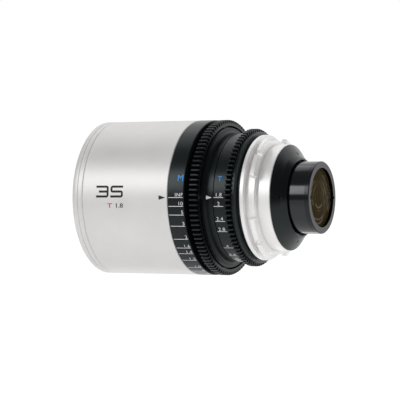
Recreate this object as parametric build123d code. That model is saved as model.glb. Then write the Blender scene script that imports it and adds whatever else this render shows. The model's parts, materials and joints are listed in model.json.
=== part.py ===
from build123d import *
import math
import os

# A cinema prime lens with a four-lug positive-lock mount.
# All sizes are in millimetres. The origin is the centre of the mount's seat on the optical axis.
# +X runs along the axis to the camera, so the scene is at -X, and +Z is up.
# The index marks face -Y. A clock angle is measured from there, upwards over the top.

# The mount
seat_place = 0.0
spigot_radius = 27.0
spigot_length = 7.0
spigot_bore_radius = 24.9
spigot_chamfer = 0.5
lug_radius = 32.0
lug_thickness = 2.7
lug_half_angle = 25.0
lug_count = 4
lug_chamfer = 0.25
neck_radius = 29.1
neck_chamfer = 0.6
locating_slot_width = 3.3
locating_slot_depth = 2.7
mount_flange_thickness = 2.2
mount_height = 7.4
mount_web_thickness = 2.8
mount_web_bore_radius = 20.5
shim_thickness = 0.2
mount_screw_count = 6
mount_screw_circle_radius = 23.1
mount_screw_radius = 1.0
mount_screw_length = 5.0
mount_screw_head_radius = 1.6
mount_screw_head_height = 1.3
mount_screw_socket_radius = 0.75
mount_screw_socket_depth = 0.8

# The outer barrel and the filter ring
barrel_radius = 40.0
barrel_wall = 2.5
barrel_front_place = -92.0
barrel_rear_place = -43.2
barrel_edge_chamfer = 0.35
barrel_web_front_place = -60.0
barrel_web_thickness = 3.0
front_place = -98.0
front_bevel = 0.7
filter_rim_wall = 1.9
filter_thread_length = 5.0
filter_spigot_rear_place = -86.0
filter_spigot_wall = 1.9
fine_groove_place = -94.8
fine_groove_width = 0.3
fine_groove_depth = 0.3

# The chassis, the fixed tube that everything is carried on
chassis_front_place = -66.0
chassis_step_place = -25.0
chassis_bore_step_place = -28.0
chassis_front_bore_radius = 28.5
chassis_front_radius = 31.0
chassis_rear_bore_radius = 27.0
chassis_rear_radius = 29.5
chassis_end_wall = 3.9
chassis_end_bore_radius = 20.6
lock_ring_width = 3.0
lock_ring_radius = 34.5
lock_ring_notch_count = 4

# The focus ring, its gear and its cam
focus_throw = 90.0
focus_travel = 1.7
focus_ring_gap = 0.15
focus_lip_length = 2.8
focus_lip_gap = 0.3
focus_scale_length = 9.0
focus_groove_width = 2.9
focus_groove_depth = 2.4
focus_edge_chamfer = 0.3
focus_web_length = 6.0
focus_cavity_wall = 1.5
gear_module = 0.8
gear_root_share = 1.25
focus_gear_length = 4.5
focus_gear_face_length = 4.0
focus_gear_seat_depth = 3.1
focus_gear_seat_length = 2.0
focus_gear_inner_wall = 0.7
cam_front_place = -54.0
cam_rear_place = -29.2
cam_wall = 1.95
running_gap = 0.05
fit_gap = 0.02
cam_slot_place = -47.5
follower_count = 3
follower_clock = 60.0
follower_radius = 1.5
follower_slot_gap = 0.06
follower_root_depth = 2.6
follower_tip_gap = 0.4
cam_retainer_width = 2.6
cam_retainer_radius = 33.6
bearing_thickness = 0.4
focus_screw_count = 3
focus_screw_radius = 1.0
focus_screw_length = 3.6
focus_screw_clock = 15.0
focus_screw_place = -42.2
stop_pin_radius = 1.0
stop_pin_length = 2.9
stop_pin_clock = 200.0
stop_gap = 0.1
stop_lug_angle = 12.0
stop_lug_length = 1.6

# The fixed index ring between the two scales
index_flange_place = -26.7
index_flange_thickness = 1.8
index_gap = 0.2
index_ring_radius = 33.0
index_cove_radius = 2.0
index_ring_rear_place = -21.3

# The iris ring, its gear and its retaining ring
iris_throw = 90.0
iris_ring_front_place = -21.15
iris_ring_radius = 33.0
iris_gear_front_place = -14.2
iris_gear_teeth = 86
iris_gear_length = 3.2
iris_gear_seat_radius = 32.2
iris_collar_radius = 33.5
iris_collar_rear_place = -9.4
iris_edge_chamfer = 0.3
iris_groove_width = 2.8
iris_groove_depth = 1.8
iris_groove_rear_place = -13.2
iris_retainer_radius = 31.0
iris_retainer_gap = 0.15
iris_post_radius = 1.2
iris_post_place = -17.6
iris_post_clock = 125.0
iris_post_slot_gap = 0.1

# The sliding optical block
housing_front_place = -70.0
housing_rear_place = -13.2
housing_front_bore_radius = 24.0
housing_rear_bore_radius = 24.2
housing_web_place = -25.0
housing_web_thickness = 2.4
housing_web_bore_radius = 15.0
housing_shoulder_gap = 0.3
housing_neck_radius = 27.6
front_cell_front_place = -88.0
front_cell_rear_place = -66.8
front_cell_gap = 3.9
front_cell_waist_wall = 3.0
front_cell_wall = 3.4
front_cell_shoulder_radius = 28.0
front_cell_shoulder_place = -76.0
front_cell_shoulder_thickness = 1.6
ring_step = 1.2

# The iris
blade_count = 9
iris_open_radius = 10.2
iris_closed_radius = 1.2
blade_band_width = 6.2
blade_pivot_circle_radius = 18.5
blade_ear_radius = 1.6
blade_start_angle = -4.0
blade_end_angle = 122.0
blade_drive_angle = 105.0
blade_thickness = 0.12
blade_pitch = 0.25
blade_stud_radius = 0.6
blade_stud_height = 0.09
iris_plate_thickness = 1.0
iris_plate_step = 0.4
drive_ring_thickness = 3.0
drive_ring_bore_radius = 10.4
drive_slot_depth_share = 0.6
iris_axial_gap = 0.15

# The rear group
rear_guide_radius = 20.45
rear_guide_rear_place = 11.5
rear_tube_radius = 18.26
rear_tube_gap = 0.09
rear_tube_rear_place = 24.0
rear_tube_bore_radius = 15.6
rear_cell_flange_radius = 24.1
rear_cell_flange_thickness = 2.4
rear_end_ring_length = 2.4
rear_end_ring_bore_radius = 15.0
rear_end_spigot_length = 2.0
rear_end_spigot_wall = 1.2
rear_end_lip_length = 1.6
rear_edge_chamfer = 0.35
rear_notch_width = 1.6
rear_notch_depth = 1.0
rear_notch_count = 2
shroud_front_place = 1.0
shroud_cone_radius = 26.85
shroud_waist_place = 10.6
shroud_waist_radius = 22.1
shroud_rear_place = 13.1
shroud_rear_radius = 19.9
shroud_wall = 1.7
shroud_clamp_length = 3.4
shroud_screw_count = 4
shroud_screw_radius = 0.6
shroud_screw_sink = 0.25

# The glass: thickness at the edge, and how far each face bulges to the scene
lens_gap = 0.1
glass_land = 1.6
cement_gap = 0.03
front_element_edge = 3.5
front_element_front_sag = 2.2
front_element_rear_sag = 3.0
second_element_edge = 3.0
second_element_front_sag = 2.0
second_element_rear_sag = 1.0
front_spacer_length = 2.5
front_spacer_wall = 1.5
front_retaining_ring_length = 2.0
front_retaining_ring_wall = 1.3
third_element_edge = 5.0
third_element_front_sag = 2.4
third_element_rear_sag = -2.0
inner_retaining_ring_length = 2.5
inner_ring_wall = 1.5
long_spacer_length = 21.0
fourth_element_edge = 4.0
fourth_element_front_sag = 1.8
fourth_element_rear_sag = 2.6
short_spacer_length = 11.0
rear_element_edge = 5.4
rear_element_front_sag = 2.5
rear_element_rear_sag = -1.0
rear_spacer_length = 8.0
rear_spacer_wall = 1.5
doublet_rear_edge = 6.0
doublet_rear_sag = -0.5
doublet_front_edge = 5.0
doublet_front_sag = 3.0
doublet_joint_sag = -2.5
doublet_ring_length = 4.0

# Cuts run past what they cut by this much
overrun = 1.0

# Sizes that follow from the ones above
barrel_bore_radius = barrel_radius - barrel_wall
filter_thread_radius = barrel_radius - filter_rim_wall
focus_ring_radius = barrel_radius
focus_lip_radius = barrel_bore_radius - focus_lip_gap
focus_groove_radius = focus_ring_radius - focus_groove_depth
focus_gear_teeth = round((focus_ring_radius - gear_module) * 2 / gear_module)
focus_gear_seat_radius = focus_ring_radius - focus_gear_seat_depth
focus_gear_bore_radius = focus_gear_seat_radius - focus_gear_inner_wall
focus_cavity_radius = focus_gear_seat_radius - focus_cavity_wall
index_flange_radius = focus_gear_bore_radius - index_gap
front_cell_radius = barrel_bore_radius - front_cell_gap
front_cell_bore_radius = front_cell_radius - front_cell_wall
front_cell_waist_radius = housing_neck_radius + front_cell_waist_wall
mount_front_place = seat_place - mount_height
mount_web_rear_place = mount_front_place + mount_web_thickness
chassis_rear_place = mount_front_place - shim_thickness
cam_inner_radius = chassis_front_radius + running_gap
cam_outer_radius = cam_inner_radius + cam_wall
stop_pin_circle_radius = (cam_outer_radius + focus_cavity_radius) / 2
barrel_web_rear_place = barrel_web_front_place + barrel_web_thickness
focus_front_place = barrel_rear_place + focus_ring_gap
focus_groove_place = focus_front_place + focus_scale_length
focus_gear_place = focus_groove_place + focus_groove_width
focus_rear_place = focus_gear_place + focus_gear_length
iris_ring_bore_radius = chassis_rear_radius + running_gap
housing_front_radius = chassis_front_bore_radius - running_gap
housing_rear_radius = chassis_rear_bore_radius - running_gap
slide_room = focus_travel + follower_slot_gap
iris_plate_place = housing_web_place + housing_web_thickness
blade_stack = (blade_count - 1) * blade_pitch + blade_thickness + blade_stud_height
drive_ring_place = iris_plate_place + iris_plate_thickness + 2 * iris_axial_gap + blade_stack
rear_cell_flange_place = drive_ring_place + drive_ring_thickness + iris_axial_gap
third_element_rear = housing_web_place - short_spacer_length - fourth_element_edge - long_spacer_length
rear_glass_rear = rear_tube_rear_place - rear_end_lip_length


def clock(shape, angle):
    """Turns a shape that was built at the top, over +Z, to a clock angle."""
    return shape.rotate(Axis.X, 90.0 - angle)


def turned(*corners):
    """A turned piece from its half section, as (place, radius) corners."""
    outline = Polyline(*corners, close=True)
    return revolve(make_face(outline), axis=Axis.X, revolution_arc=360)


def tube(front, rear, outer, inner):
    """A plain ring between two places on the axis."""
    return turned((front, inner), (front, outer), (rear, outer), (rear, inner))


def ring_sector(front, rear, outer, inner, first, last):
    """Part of a plain ring, from one clock angle up to another."""
    section = make_face(Polyline((front, inner), (front, outer), (rear, outer), (rear, inner), close=True))
    span = last - first
    return revolve(section, axis=Axis.X, revolution_arc=span).rotate(Axis.X, 180.0 - last)


def radial_pin(place, inner, outer, radius, angle):
    """A round pin along a radius of the lens."""
    length = outer - inner
    pin = Pos(place, 0, inner + length / 2) * Cylinder(radius, length)
    return clock(pin, angle)


def axial_pin(front, rear, circle_radius, radius, angle):
    """A round pin parallel to the optical axis."""
    length = rear - front
    pin = Pos(front + length / 2, 0, circle_radius) * Rot(0, 90, 0) * Cylinder(radius, length)
    return clock(pin, angle)


def axial_slot(front, rear, inner, outer, radius, angle):
    """A slot along the axis with round ends, for a radial pin that slides between two places."""
    depth = outer - inner
    slot = extrude(SlotCenterToCenter(rear - front, 2 * radius), depth)
    return clock(Pos((front + rear) / 2, 0, inner) * slot, angle)


def clock_angles(count, first):
    """Evenly spaced clock angles."""
    return [first + 360.0 * step / count for step in range(count)]


def gear_ring(front, face_rear, rear, teeth, bore_radius):
    """A ring with straight teeth for a follow-focus drive, chamfered behind the teeth."""
    pitch_radius = teeth * gear_module / 2
    tip_radius = pitch_radius + gear_module
    root_radius = pitch_radius - gear_root_share * gear_module
    blank = turned(
        (front, bore_radius),
        (front, tip_radius),
        (face_rear, tip_radius),
        (rear, tip_radius - gear_module),
        (rear, bore_radius),
    )
    tooth_space = math.pi * gear_module / 2
    half_root_share = 0.27
    half_tip_share = 0.72
    above = overrun
    slope = (half_tip_share - half_root_share) * tooth_space / (tip_radius - root_radius)
    half_root = half_root_share * tooth_space
    half_top = half_tip_share * tooth_space + slope * above
    space_outline = Polyline(
        (half_root, root_radius),
        (half_top, tip_radius + above),
        (-half_top, tip_radius + above),
        (-half_root, root_radius),
        close=True,
    )
    space_plane = Plane(origin=(front - overrun, 0, 0), x_dir=(0, 1, 0), z_dir=(1, 0, 0))
    space = extrude(space_plane * make_face(space_outline), rear - front + 2 * overrun)
    spaces = [space.rotate(Axis.X, 360.0 * tooth / teeth) for tooth in range(teeth)]
    return blank - spaces


def make_pl_mount():
    """Steel mount: base flange, neck, four locating lugs and the spigot that enters the camera."""
    base_rear = mount_front_place + mount_flange_thickness
    body = turned(
        (mount_front_place, mount_web_bore_radius),
        (mount_front_place, lug_radius - lug_chamfer),
        (mount_front_place + lug_chamfer, lug_radius),
        (base_rear - lug_chamfer, lug_radius),
        (base_rear, lug_radius - lug_chamfer),
        (base_rear, neck_radius),
        (seat_place - neck_chamfer, neck_radius),
        (seat_place, neck_radius - neck_chamfer),
        (seat_place, spigot_radius),
        (spigot_length - spigot_chamfer, spigot_radius),
        (spigot_length, spigot_radius - spigot_chamfer),
        (spigot_length, spigot_bore_radius),
        (mount_web_rear_place, spigot_bore_radius),
        (mount_web_rear_place, mount_web_bore_radius),
    )
    lug_front = seat_place - lug_thickness
    lug_section = Polyline(
        (lug_front, spigot_radius - spigot_chamfer),
        (lug_front, lug_radius - lug_chamfer),
        (lug_front + lug_chamfer, lug_radius),
        (seat_place - lug_chamfer, lug_radius),
        (seat_place, lug_radius - lug_chamfer),
        (seat_place, spigot_radius - spigot_chamfer),
        close=True,
    )
    lug_span = 2 * lug_half_angle
    lug = revolve(make_face(lug_section), axis=Axis.X, revolution_arc=lug_span)
    for middle in clock_angles(lug_count, 180.0 / lug_count):
        body += lug.rotate(Axis.X, 180.0 - middle - lug_half_angle)
    slot_bottom = lug_radius - locating_slot_depth + locating_slot_width / 2
    slot_height = lug_radius + overrun - slot_bottom
    slot_length = lug_thickness + overrun
    slot_middle = lug_front + (lug_thickness + overrun) / 2
    slot = Pos(slot_middle, 0, slot_bottom + slot_height / 2) * Box(slot_length, locating_slot_width, slot_height)
    slot += Pos(slot_middle, 0, slot_bottom) * Rot(0, 90, 0) * Cylinder(locating_slot_width / 2, slot_length)
    for middle in clock_angles(lug_count, 180.0 / lug_count):
        body -= clock(slot, middle)
    for angle in clock_angles(mount_screw_count, 0.0):
        body -= axial_pin(
            mount_front_place - overrun,
            mount_web_rear_place + overrun,
            mount_screw_circle_radius,
            mount_screw_radius + running_gap,
            angle,
        )
    return body


def make_mount_shim():
    """Thin spacer behind the chassis that sets the flange distance."""
    shim = tube(chassis_rear_place, mount_front_place, chassis_rear_radius, chassis_end_bore_radius)
    for angle in clock_angles(mount_screw_count, 0.0):
        shim -= axial_pin(
            chassis_rear_place - overrun,
            mount_front_place + overrun,
            mount_screw_circle_radius,
            mount_screw_radius + running_gap,
            angle,
        )
    return shim


def make_mount_screws():
    """Socket-head screws that hold the mount to the chassis, seen only from inside."""
    screws = []
    head_rear = mount_web_rear_place + mount_screw_head_height
    for angle in clock_angles(mount_screw_count, 0.0):
        screw = axial_pin(
            mount_web_rear_place - mount_screw_length,
            mount_web_rear_place,
            mount_screw_circle_radius,
            mount_screw_radius,
            angle,
        )
        screw += axial_pin(
            mount_web_rear_place,
            head_rear,
            mount_screw_circle_radius,
            mount_screw_head_radius,
            angle,
        )
        screw -= axial_pin(
            head_rear - mount_screw_socket_depth,
            head_rear + overrun,
            mount_screw_circle_radius,
            mount_screw_socket_radius,
            angle,
        )
        screws.append(screw)
    return Compound(screws)


def make_filter_ring():
    """Front ring with the filter thread, a fine decorative groove and a spigot into the barrel."""
    thread_rear = front_place + filter_thread_length
    spigot_radius_outer = barrel_bore_radius - fit_gap
    spigot_inner = spigot_radius_outer - filter_spigot_wall
    groove_floor = barrel_radius - fine_groove_depth
    return turned(
        (front_place, filter_thread_radius),
        (front_place, barrel_radius - front_bevel),
        (front_place + front_bevel, barrel_radius),
        (fine_groove_place - fine_groove_width / 2, barrel_radius),
        (fine_groove_place - fine_groove_width / 2, groove_floor),
        (fine_groove_place + fine_groove_width / 2, groove_floor),
        (fine_groove_place + fine_groove_width / 2, barrel_radius),
        (barrel_front_place - fine_groove_depth, barrel_radius),
        (barrel_front_place, groove_floor),
        (barrel_front_place, spigot_radius_outer),
        (filter_spigot_rear_place, spigot_radius_outer),
        (filter_spigot_rear_place, spigot_inner),
        (thread_rear, spigot_inner),
        (thread_rear, filter_thread_radius),
    )


def make_front_barrel():
    """White outer barrel with an inner web that clamps it to the chassis."""
    web_bore = chassis_front_radius + fit_gap
    return turned(
        (barrel_front_place, barrel_bore_radius),
        (barrel_front_place, barrel_radius - fine_groove_depth),
        (barrel_front_place + fine_groove_depth, barrel_radius),
        (barrel_rear_place - barrel_edge_chamfer, barrel_radius),
        (barrel_rear_place, barrel_radius - barrel_edge_chamfer),
        (barrel_rear_place, barrel_bore_radius),
        (barrel_web_rear_place, barrel_bore_radius),
        (barrel_web_rear_place, web_bore),
        (barrel_web_front_place, web_bore),
        (barrel_web_front_place, barrel_bore_radius),
    )


def make_barrel_lock_ring():
    """Nut on the chassis that holds the barrel's web."""
    front = barrel_web_front_place - lock_ring_width
    ring = tube(front, barrel_web_front_place, lock_ring_radius, chassis_front_radius + fit_gap)
    notch_size = lock_ring_radius - chassis_front_radius
    notch = Pos(front, 0, lock_ring_radius) * Box(lock_ring_width, notch_size, notch_size)
    for angle in clock_angles(lock_ring_notch_count, 0.0):
        ring -= clock(notch, angle)
    return ring


def make_chassis():
    """Fixed tube: guide slots for the followers, an arc slot for the iris post, and the rear wall."""
    end_wall_place = chassis_rear_place - chassis_end_wall
    body = turned(
        (chassis_front_place, chassis_front_bore_radius),
        (chassis_front_place, chassis_front_radius),
        (chassis_step_place, chassis_front_radius),
        (chassis_step_place, chassis_rear_radius),
        (chassis_rear_place, chassis_rear_radius),
        (chassis_rear_place, chassis_end_bore_radius),
        (end_wall_place, chassis_end_bore_radius),
        (end_wall_place, chassis_rear_bore_radius),
        (chassis_bore_step_place, chassis_rear_bore_radius),
        (chassis_bore_step_place, chassis_front_bore_radius),
    )
    for angle in clock_angles(follower_count, follower_clock):
        body -= axial_slot(
            cam_slot_place - slide_room,
            cam_slot_place + follower_slot_gap,
            chassis_rear_bore_radius,
            chassis_front_radius + overrun,
            follower_radius + follower_slot_gap,
            angle,
        )
    post_middle = iris_post_place - focus_travel / 2
    post_half = iris_post_radius + iris_post_slot_gap
    body -= ring_sector(
        post_middle - focus_travel / 2 - post_half,
        post_middle + focus_travel / 2 + post_half,
        chassis_rear_radius + overrun,
        chassis_rear_bore_radius - overrun,
        iris_post_clock - iris_slot_margin(chassis_rear_bore_radius),
        iris_post_clock + iris_throw + iris_slot_margin(chassis_rear_bore_radius),
    )
    for angle in clock_angles(mount_screw_count, 0.0):
        body -= axial_pin(
            mount_web_rear_place - mount_screw_length - running_gap,
            chassis_rear_place + overrun,
            mount_screw_circle_radius,
            mount_screw_radius + running_gap,
            angle,
        )
    return body


def iris_slot_margin(radius):
    """Angle by which a slot for the iris post runs past the post's own centre."""
    chord_share = 1.05
    return math.degrees((iris_post_radius + iris_post_slot_gap) / radius) * chord_share


def make_cam_retaining_ring():
    """Nut that keeps the cam barrel on the chassis, held against the barrel's web."""
    front = barrel_web_rear_place
    return tube(front, front + cam_retainer_width, cam_retainer_radius, chassis_front_radius + fit_gap)


def make_cam_front_bearing():
    """Plain washer that the cam barrel's front edge runs on."""
    rear = cam_front_place - running_gap
    front = barrel_web_rear_place + cam_retainer_width
    return tube(front, rear, cam_outer_radius, chassis_front_radius + fit_gap)


def make_cam_rear_bearing():
    """Plain washer between the cam barrel and the index ring."""
    front = cam_rear_place + running_gap
    return tube(front, front + bearing_thickness, cam_outer_radius, chassis_front_radius + fit_gap)


def make_cam_barrel():
    """Turns with the focus ring; its three helical slots push the followers along the axis."""
    body = tube(cam_front_place, cam_rear_place, cam_outer_radius, cam_inner_radius)
    slot_radius = follower_radius + follower_slot_gap
    path_radius = (cam_inner_radius + cam_outer_radius) / 2
    pitch = focus_travel * 360.0 / focus_throw
    path = Helix(pitch=pitch, height=focus_travel, radius=path_radius, lefthand=True)
    depth = cam_wall + overrun
    section_plane = Plane(origin=path @ 0, x_dir=(1, 0, 0), z_dir=path % 0)
    groove = sweep(section_plane * Rectangle(depth, 2 * slot_radius), path=path, is_frenet=True)
    groove = groove.rotate(Axis.Y, 90)
    # The helix now starts at the bottom, clock angle -90, at place 0, and climbs by the throw.
    start_clock = -90.0
    for angle in clock_angles(follower_count, follower_clock):
        first = angle - focus_throw
        turn = -(first - start_clock)
        place = cam_slot_place - focus_travel
        body -= Pos(place, 0, 0) * groove.rotate(Axis.X, turn)
        inner = cam_inner_radius - overrun
        outer = cam_outer_radius + overrun
        body -= radial_pin(cam_slot_place, inner, outer, slot_radius, angle)
        body -= radial_pin(place, inner, outer, slot_radius, first)
    for angle in clock_angles(focus_screw_count, focus_screw_clock):
        body -= radial_pin(
            focus_screw_place,
            cam_inner_radius - overrun,
            cam_outer_radius + overrun,
            focus_screw_radius + fit_gap,
            angle,
        )
    return body


def make_focus_ring():
    """Black sleeve with the distance scale, the deep groove and the seat of its gear."""
    lip_front = focus_front_place - focus_lip_length
    seat_rear = focus_gear_place + focus_gear_seat_length
    web_rear = lip_front + focus_web_length
    web_bore = cam_outer_radius + fit_gap
    body = turned(
        (lip_front, web_bore),
        (lip_front, focus_lip_radius),
        (focus_front_place, focus_lip_radius),
        (focus_front_place, focus_ring_radius - focus_edge_chamfer),
        (focus_front_place + focus_edge_chamfer, focus_ring_radius),
        (focus_groove_place - focus_edge_chamfer, focus_ring_radius),
        (focus_groove_place, focus_ring_radius - focus_edge_chamfer),
        (focus_groove_place, focus_groove_radius),
        (focus_gear_place, focus_groove_radius),
        (focus_gear_place, focus_gear_seat_radius),
        (seat_rear, focus_gear_seat_radius),
        (seat_rear, focus_cavity_radius),
        (web_rear, focus_cavity_radius),
        (web_rear, web_bore),
    )
    for angle in clock_angles(focus_screw_count, focus_screw_clock):
        body -= radial_pin(
            focus_screw_place,
            web_bore - overrun,
            web_bore + focus_screw_length,
            focus_screw_radius + fit_gap,
            angle,
        )
    return body


def make_focus_gear_ring():
    """Toothed ring for a follow-focus drive, fixed on the focus ring's seat."""
    seat_rear = focus_gear_place + focus_gear_seat_length
    ring = gear_ring(
        focus_gear_place,
        focus_gear_place + focus_gear_face_length,
        focus_rear_place,
        focus_gear_teeth,
        focus_gear_bore_radius,
    )
    return ring - tube(
        focus_gear_place - overrun,
        seat_rear,
        focus_gear_seat_radius + fit_gap,
        focus_cavity_radius,
    )


def make_focus_screws():
    """Grub screws that pin the focus ring to its cam barrel."""
    root = cam_inner_radius + running_gap
    screws = [
        radial_pin(focus_screw_place, root, root + focus_screw_length, focus_screw_radius, angle)
        for angle in clock_angles(focus_screw_count, focus_screw_clock)
    ]
    return Compound(screws)


def stop_pin_clocks():
    """Clock angles of the two pins: the lug runs between them through the focus throw."""
    contact = math.degrees((stop_pin_radius + stop_gap) / stop_pin_circle_radius)
    return (stop_pin_clock, stop_pin_clock + 2 * contact + stop_lug_angle + focus_throw)


def make_focus_stop_lug():
    """Block inside the focus ring's cavity that meets a stop pin at each end of the throw."""
    rear = index_flange_place - index_flange_thickness - focus_ring_gap
    outer = focus_cavity_radius - fit_gap
    inner = cam_outer_radius + fit_gap
    contact = math.degrees((stop_pin_radius + stop_gap) / stop_pin_circle_radius)
    first = stop_pin_clock + contact
    return ring_sector(rear - stop_lug_length, rear, outer, inner, first, first + stop_lug_angle)


def make_focus_stop_pins():
    """Two pins in the index ring's flange that end the focus throw."""
    rear = index_flange_place - index_flange_thickness / 2
    pins = [
        axial_pin(rear - stop_pin_length, rear, stop_pin_circle_radius, stop_pin_radius, angle)
        for angle in stop_pin_clocks()
    ]
    return Compound(pins)


def make_index_ring():
    """Fixed ring with the iris index: a thin flange inside the focus gear, a cove, and a short land."""
    flange_front = index_flange_place - index_flange_thickness
    bore = chassis_front_radius + fit_gap
    rear_bore = chassis_rear_radius + fit_gap
    cove_rear = index_flange_place + index_cove_radius
    cove_outer = index_ring_radius + index_cove_radius
    half_diagonal = index_cove_radius * (1 - math.sqrt(0.5))
    cove_middle = (index_flange_place + half_diagonal, index_ring_radius + half_diagonal)
    cove = ThreePointArc((index_flange_place, cove_outer), cove_middle, (cove_rear, index_ring_radius))
    rest = Polyline(
        (cove_rear, index_ring_radius),
        (index_ring_rear_place, index_ring_radius),
        (index_ring_rear_place, rear_bore),
        (chassis_step_place, rear_bore),
        (chassis_step_place, bore),
        (flange_front, bore),
        (flange_front, index_flange_radius),
        (index_flange_place, index_flange_radius),
        (index_flange_place, cove_outer),
    )
    ring = revolve(make_face([cove, rest]), axis=Axis.X, revolution_arc=360)
    seat_rear = index_flange_place - index_flange_thickness / 2
    for angle in stop_pin_clocks():
        ring -= axial_pin(flange_front - overrun, seat_rear, stop_pin_circle_radius, stop_pin_radius, angle)
    return ring


def make_iris_ring():
    """Black ring with the aperture scale, an inner groove that drives the iris post, and a collar."""
    gear_rear = iris_gear_front_place + iris_gear_length
    body = turned(
        (iris_ring_front_place, iris_ring_bore_radius),
        (iris_ring_front_place, iris_ring_radius - iris_edge_chamfer),
        (iris_ring_front_place + iris_edge_chamfer, iris_ring_radius),
        (iris_gear_front_place, iris_ring_radius),
        (iris_gear_front_place, iris_gear_seat_radius),
        (gear_rear, iris_gear_seat_radius),
        (gear_rear, iris_collar_radius),
        (iris_collar_rear_place - iris_edge_chamfer, iris_collar_radius),
        (iris_collar_rear_place, iris_collar_radius - iris_edge_chamfer),
        (iris_collar_rear_place, iris_ring_bore_radius),
    )
    groove_length = iris_groove_rear_place - iris_ring_front_place + overrun
    groove = Pos(
        iris_ring_front_place - overrun + groove_length / 2,
        0,
        iris_ring_bore_radius + iris_groove_depth / 2 - overrun / 2,
    ) * Box(groove_length, iris_groove_width, iris_groove_depth + overrun)
    return body - clock(groove, iris_post_clock)


def make_iris_gear_ring():
    """Toothed ring for an iris drive, on the iris ring's seat."""
    rear = iris_gear_front_place + iris_gear_length
    return gear_ring(
        iris_gear_front_place,
        rear - iris_edge_chamfer,
        rear,
        iris_gear_teeth,
        iris_gear_seat_radius + fit_gap,
    )


def make_iris_retaining_ring():
    """Dark recessed ring behind the iris ring that keeps it in place."""
    front = iris_collar_rear_place + iris_retainer_gap
    return tube(front, mount_front_place, iris_retainer_radius, chassis_rear_radius + fit_gap)


def make_optical_housing():
    """Sliding inner barrel that carries both glass groups and the iris."""
    step = chassis_bore_step_place - housing_shoulder_gap
    web_rear = housing_web_place + housing_web_thickness
    body = turned(
        (housing_front_place, housing_front_bore_radius),
        (housing_front_place, housing_neck_radius),
        (front_cell_rear_place, housing_neck_radius),
        (front_cell_rear_place, housing_front_radius),
        (step, housing_front_radius),
        (step, housing_rear_radius),
        (housing_rear_place, housing_rear_radius),
        (housing_rear_place, housing_rear_bore_radius),
        (web_rear, housing_rear_bore_radius),
        (web_rear, housing_web_bore_radius),
        (housing_web_place, housing_web_bore_radius),
        (housing_web_place, housing_front_bore_radius),
    )
    for angle in clock_angles(follower_count, follower_clock):
        body -= radial_pin(
            cam_slot_place,
            housing_front_radius - follower_root_depth,
            housing_front_radius + overrun,
            follower_radius,
            angle,
        )
    margin = iris_slot_margin(housing_rear_bore_radius)
    half = iris_post_radius + iris_post_slot_gap
    return body - ring_sector(
        iris_post_place - half,
        iris_post_place + half,
        housing_rear_radius + overrun,
        housing_rear_bore_radius - overrun,
        iris_post_clock - margin,
        iris_post_clock + iris_throw + margin,
    )


def make_follower_pins():
    """Three pins in the housing that ride in the chassis's guide slots and the cam's helical slots."""
    inner = housing_front_radius - follower_root_depth
    outer = cam_outer_radius - follower_tip_gap
    pins = [
        radial_pin(cam_slot_place, inner, outer, follower_radius, angle)
        for angle in clock_angles(follower_count, follower_clock)
    ]
    return Compound(pins)


def make_front_cell():
    """Cell of the two front elements, on the nose of the housing."""
    shoulder_rear = front_cell_shoulder_place + front_cell_shoulder_thickness
    seat_radius = housing_neck_radius + fit_gap
    return turned(
        (front_cell_front_place, front_cell_bore_radius),
        (front_cell_front_place, front_cell_radius),
        (shoulder_rear, front_cell_radius),
        (shoulder_rear, front_cell_waist_radius),
        (front_cell_rear_place, front_cell_waist_radius),
        (front_cell_rear_place, seat_radius),
        (housing_front_place, seat_radius),
        (housing_front_place, front_cell_shoulder_radius - ring_step),
        (shoulder_rear, front_cell_shoulder_radius - ring_step),
        (shoulder_rear, front_cell_shoulder_radius),
        (front_cell_shoulder_place, front_cell_shoulder_radius),
        (front_cell_shoulder_place, front_cell_bore_radius),
    )


def face_arc(place, clear, sag):
    """Half section of a ground face, round a centre on the axis; sag is its bulge to the scene."""
    radius = (clear * clear + sag * sag) / (2 * sag)
    half_way = math.asin(clear / radius) / 2
    centre = place - sag + radius
    middle = (centre - radius * math.cos(half_way), radius * math.sin(half_way))
    return ThreePointArc((place - sag, 0), middle, (place, clear))


def make_element(front, rear, radius, front_sag, rear_sag):
    """A lens element with a flat land at the edge of each face."""
    clear = radius - glass_land
    outline = [
        face_arc(front, clear, front_sag),
        Polyline((front, clear), (front, radius), (rear, radius), (rear, clear)),
        face_arc(rear, clear, rear_sag),
        Line((rear - rear_sag, 0), (front - front_sag, 0)),
    ]
    return revolve(make_face(outline), axis=Axis.X, revolution_arc=360)


def front_glass():
    """The two front elements, their spacer and their retaining ring, stacked on the cell's shoulder."""
    radius = front_cell_bore_radius - lens_gap
    second_front = front_cell_shoulder_place - second_element_edge
    spacer_front = second_front - front_spacer_length
    first_front = spacer_front - front_element_edge
    return {
        "front_element": make_element(
            first_front, spacer_front, radius, front_element_front_sag, front_element_rear_sag
        ),
        "front_spacer": tube(spacer_front, second_front, radius, radius - front_spacer_wall),
        "second_element": make_element(
            second_front,
            front_cell_shoulder_place,
            radius,
            second_element_front_sag,
            second_element_rear_sag,
        ),
        "front_retaining_ring": tube(
            first_front - front_retaining_ring_length,
            first_front,
            front_cell_bore_radius - fit_gap,
            radius - front_retaining_ring_wall,
        ),
    }


def middle_glass():
    """The two elements before the iris, with their spacers, stacked against the housing's web."""
    radius = housing_front_bore_radius - lens_gap
    bore = radius - inner_ring_wall
    fourth_rear = housing_web_place - short_spacer_length
    fourth_front = fourth_rear - fourth_element_edge
    third_front = third_element_rear - third_element_edge
    return {
        "inner_retaining_ring": tube(
            third_front - inner_retaining_ring_length,
            third_front,
            housing_front_bore_radius - fit_gap,
            bore,
        ),
        "third_element": make_element(
            third_front, third_element_rear, radius, third_element_front_sag, third_element_rear_sag
        ),
        "long_spacer": tube(third_element_rear, fourth_front, radius, bore),
        "fourth_element": make_element(
            fourth_front, fourth_rear, radius, fourth_element_front_sag, fourth_element_rear_sag
        ),
        "short_spacer": tube(fourth_rear, housing_web_place, radius, bore),
    }


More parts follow.
